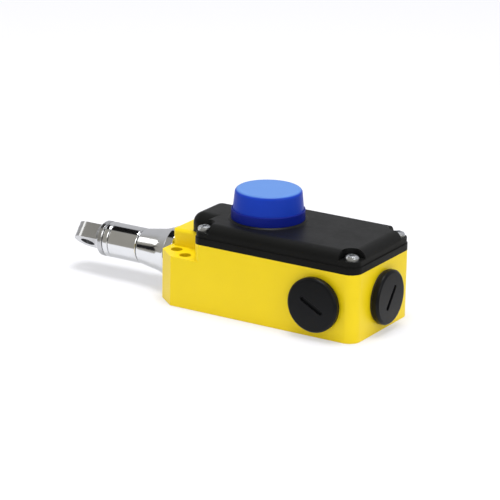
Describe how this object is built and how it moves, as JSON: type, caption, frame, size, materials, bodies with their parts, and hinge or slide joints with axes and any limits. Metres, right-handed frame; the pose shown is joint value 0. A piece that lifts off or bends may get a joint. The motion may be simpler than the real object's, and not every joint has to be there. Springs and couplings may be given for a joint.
{
  "type": "rope pull switch",
  "caption": "Single-ended safety rope pull switch: yellow housing, black cover, blue reset button, blanked conduit entries, sprung pull rod with swivelling rope eye.",
  "frame": {"origin": "middle of the housing's footprint, on the flat mounting face", "axes": "+X along the housing away from the rope, so the rod leaves towards -X; +Y across to the rear conduit entry; +Z out through the cover and the reset button"},
  "size_m": [0.1633, 0.0582, 0.0538],
  "materials": {
    "yellow_paint": "gloss traffic-yellow powder coat on die-cast zinc or aluminium",
    "black_cover": "semi-matt black moulding with a fine grain",
    "black_plastic": "smooth black moulding",
    "black_rubber": "matt elastomer",
    "blue_plastic": "satin blue moulding",
    "dark_blue_plastic": "satin dark blue moulding",
    "grey_plastic": "moulded phenolic",
    "natural_plastic": "natural acetal",
    "chrome": "polished chrome plate",
    "polished_steel": "polished stainless steel",
    "zinc_steel": "bright zinc plate",
    "spring_steel": "drawn spring wire",
    "bronze": "turned or stamped bronze",
    "brass": "stamped brass"
  },
  "bodies": {
    "frame": {"housing": "yellow_paint", "cover": "black_cover", "cover_gasket": "black_rubber", "cover_screws": "zinc_steel", "front_plug": "black_plastic", "end_plug": "black_plastic", "rear_plug": "black_plastic", "plug_seals": "black_rubber", "reset_bezel": "dark_blue_plastic", "stem_seal": "black_rubber", "cap_spring": "spring_steel", "guide_sleeve": "chrome", "rod_wiper": "black_rubber", "guide_bush": "bronze", "main_spring": "spring_steel", "chassis_plate": "zinc_steel", "chassis_screws": "zinc_steel", "latch_bracket": "zinc_steel", "bracket_rivets": "zinc_steel", "latch_pin": "polished_steel", "latch_spring": "spring_steel", "contact_block_front": "grey_plastic", "contact_block_rear": "grey_plastic", "block_screws": "zinc_steel", "plunger_spring_front": "spring_steel", "plunger_spring_rear": "spring_steel", "fixed_contacts_front": "brass", "fixed_contacts_rear": "brass", "terminal_screws": "zinc_steel", "earth_screw": "zinc_steel", "earth_washer": "brass"},
    "rod": {"pull_shaft": "polished_steel", "barrel": "chrome", "swivel_ring": "chrome", "thrust_washer": "zinc_steel", "cam_carriage": "natural_plastic", "shaft_nut": "zinc_steel"},
    "eye": {"swivel_eye": "polished_steel", "swivel_nut": "zinc_steel"},
    "button": {"reset_cap": "blue_plastic", "reset_stem": "zinc_steel", "stem_clip": "spring_steel"},
    "latch": {"latch_lever": "bronze"},
    "contact_front": {"contact_plunger_front": "natural_plastic", "contact_bridge_front": "brass"},
    "contact_rear": {"contact_plunger_rear": "natural_plastic", "contact_bridge_rear": "brass"}
  },
  "joints": [
    {"name": "rod_pull", "type": "slide", "parent": "frame", "child": "rod", "axis": [-1, 0, 0], "range_m": [0, 0.01], "stiffness_N_per_m": 3000, "springref_m": -0.004, "deforming": ["main_spring"]},
    {"name": "eye_swivel", "type": "hinge", "parent": "rod", "child": "eye", "pos_m": [-0.09, 0, 0.0155], "axis": [1, 0, 0], "continuous": true},
    {"name": "reset_press", "type": "slide", "parent": "frame", "child": "button", "axis": [0, 0, -1], "range_m": [0, 0.003], "stiffness_N_per_m": 1200, "springref_m": -0.002, "deforming": ["cap_spring"]},
    {"name": "latch_swing", "type": "hinge", "parent": "frame", "child": "latch", "pos_m": [0.001, 0, 0.0265], "axis": [0, -1, 0], "range_deg": [0, 21.6]},
    {"name": "plunger_front", "type": "slide", "parent": "frame", "child": "contact_front", "axis": [0, -1, 0], "range_m": [0, 0.0026], "deforming": ["plunger_spring_front"]},
    {"name": "plunger_rear", "type": "slide", "parent": "frame", "child": "contact_rear", "axis": [0, 1, 0], "range_m": [0, 0.0026], "deforming": ["plunger_spring_rear"]}
  ],
  "couplings": [
    {"joint": "latch_swing", "follows": "reset_press", "rad_per_m": 125},
    {"joint": "plunger_front", "follows": "rod_pull", "ratio": 0.25},
    {"joint": "plunger_rear", "follows": "rod_pull", "ratio": 0.25}
  ]
}
